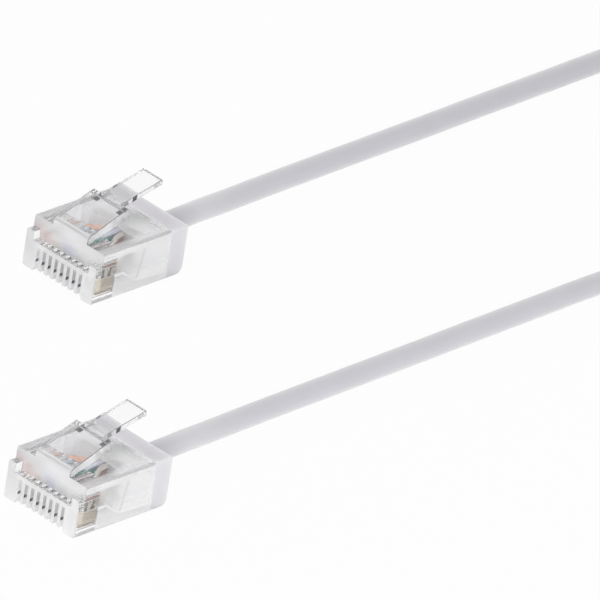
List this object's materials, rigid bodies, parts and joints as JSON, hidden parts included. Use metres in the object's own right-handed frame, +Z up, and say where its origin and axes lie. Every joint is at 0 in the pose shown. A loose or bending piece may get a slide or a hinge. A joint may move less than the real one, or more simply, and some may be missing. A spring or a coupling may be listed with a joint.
{
  "type": "ethernet patch cable",
  "caption": "Slim round ethernet patch cable with a clear modular plug and spring latch on each end, its spare length wound in a tied coil.",
  "frame": {"origin": "on the floor, half way between the two plugs, at the middle of their common box", "axes": "+X from the plugs' noses towards the cable, +Z up with the latches on top, +Y across from plug b to plug a"},
  "size_m": [0.163, 0.0683, 0.011],
  "materials": {
    "clear_shell": "clear moulded polycarbonate",
    "clear_latch": "clear moulded polycarbonate",
    "clear_bar": "clear moulded polycarbonate",
    "milky_boot": "milky translucent, smooth",
    "jacket": "soft satin PVC",
    "copper": "bare drawn copper",
    "plated_contact": "thin gold over nickel",
    "tie": "smooth moulded strap",
    "wire_white_orange": "thin coloured insulation",
    "wire_orange": "thin coloured insulation",
    "wire_white_green": "thin coloured insulation",
    "wire_blue": "thin coloured insulation",
    "wire_white_blue": "thin coloured insulation",
    "wire_green": "thin coloured insulation",
    "wire_white_brown": "thin coloured insulation",
    "wire_brown": "thin coloured insulation"
  },
  "bodies": {
    "root": {"housing_a": "clear_shell", "load_bar_a": "clear_bar", "strain_relief_a": "milky_boot", "jacket_end_a": "jacket", "cores_a": "copper", "contact_a1": "plated_contact", "contact_a2": "plated_contact", "contact_a3": "plated_contact", "contact_a4": "plated_contact", "contact_a5": "plated_contact", "contact_a6": "plated_contact", "contact_a7": "plated_contact", "contact_a8": "plated_contact", "wire_a1": "wire_white_orange", "wire_a2": "wire_orange", "wire_a3": "wire_white_green", "wire_a4": "wire_blue", "wire_a5": "wire_white_blue", "wire_a6": "wire_green", "wire_a7": "wire_white_brown", "wire_a8": "wire_brown", "housing_b": "clear_shell", "load_bar_b": "clear_bar", "strain_relief_b": "milky_boot", "jacket_end_b": "jacket", "cores_b": "copper", "contact_b1": "plated_contact", "contact_b2": "plated_contact", "contact_b3": "plated_contact", "contact_b4": "plated_contact", "contact_b5": "plated_contact", "contact_b6": "plated_contact", "contact_b7": "plated_contact", "contact_b8": "plated_contact", "wire_b1": "wire_white_orange", "wire_b2": "wire_orange", "wire_b3": "wire_white_green", "wire_b4": "wire_blue", "wire_b5": "wire_white_blue", "wire_b6": "wire_green", "wire_b7": "wire_white_brown", "wire_b8": "wire_brown", "cord_a": "jacket", "coil": "jacket", "cord_b": "jacket", "tie": "tie"},
    "latch_a": {"latch_a": "clear_latch"},
    "latch_b": {"latch_b": "clear_latch"}
  },
  "joints": [
    {"name": "latch_press_a", "type": "hinge", "parent": "root", "child": "latch_a", "pos_m": [0.01495, 0.0195, 0.00685], "axis": [0, 1, 0], "range_deg": [0, 12], "stiffness_Nm_per_rad": 0.02},
    {"name": "latch_press_b", "type": "hinge", "parent": "root", "child": "latch_b", "pos_m": [-0.02605, -0.0195, 0.00685], "axis": [0, 1, 0], "range_deg": [0, 12], "stiffness_Nm_per_rad": 0.02}
  ]
}
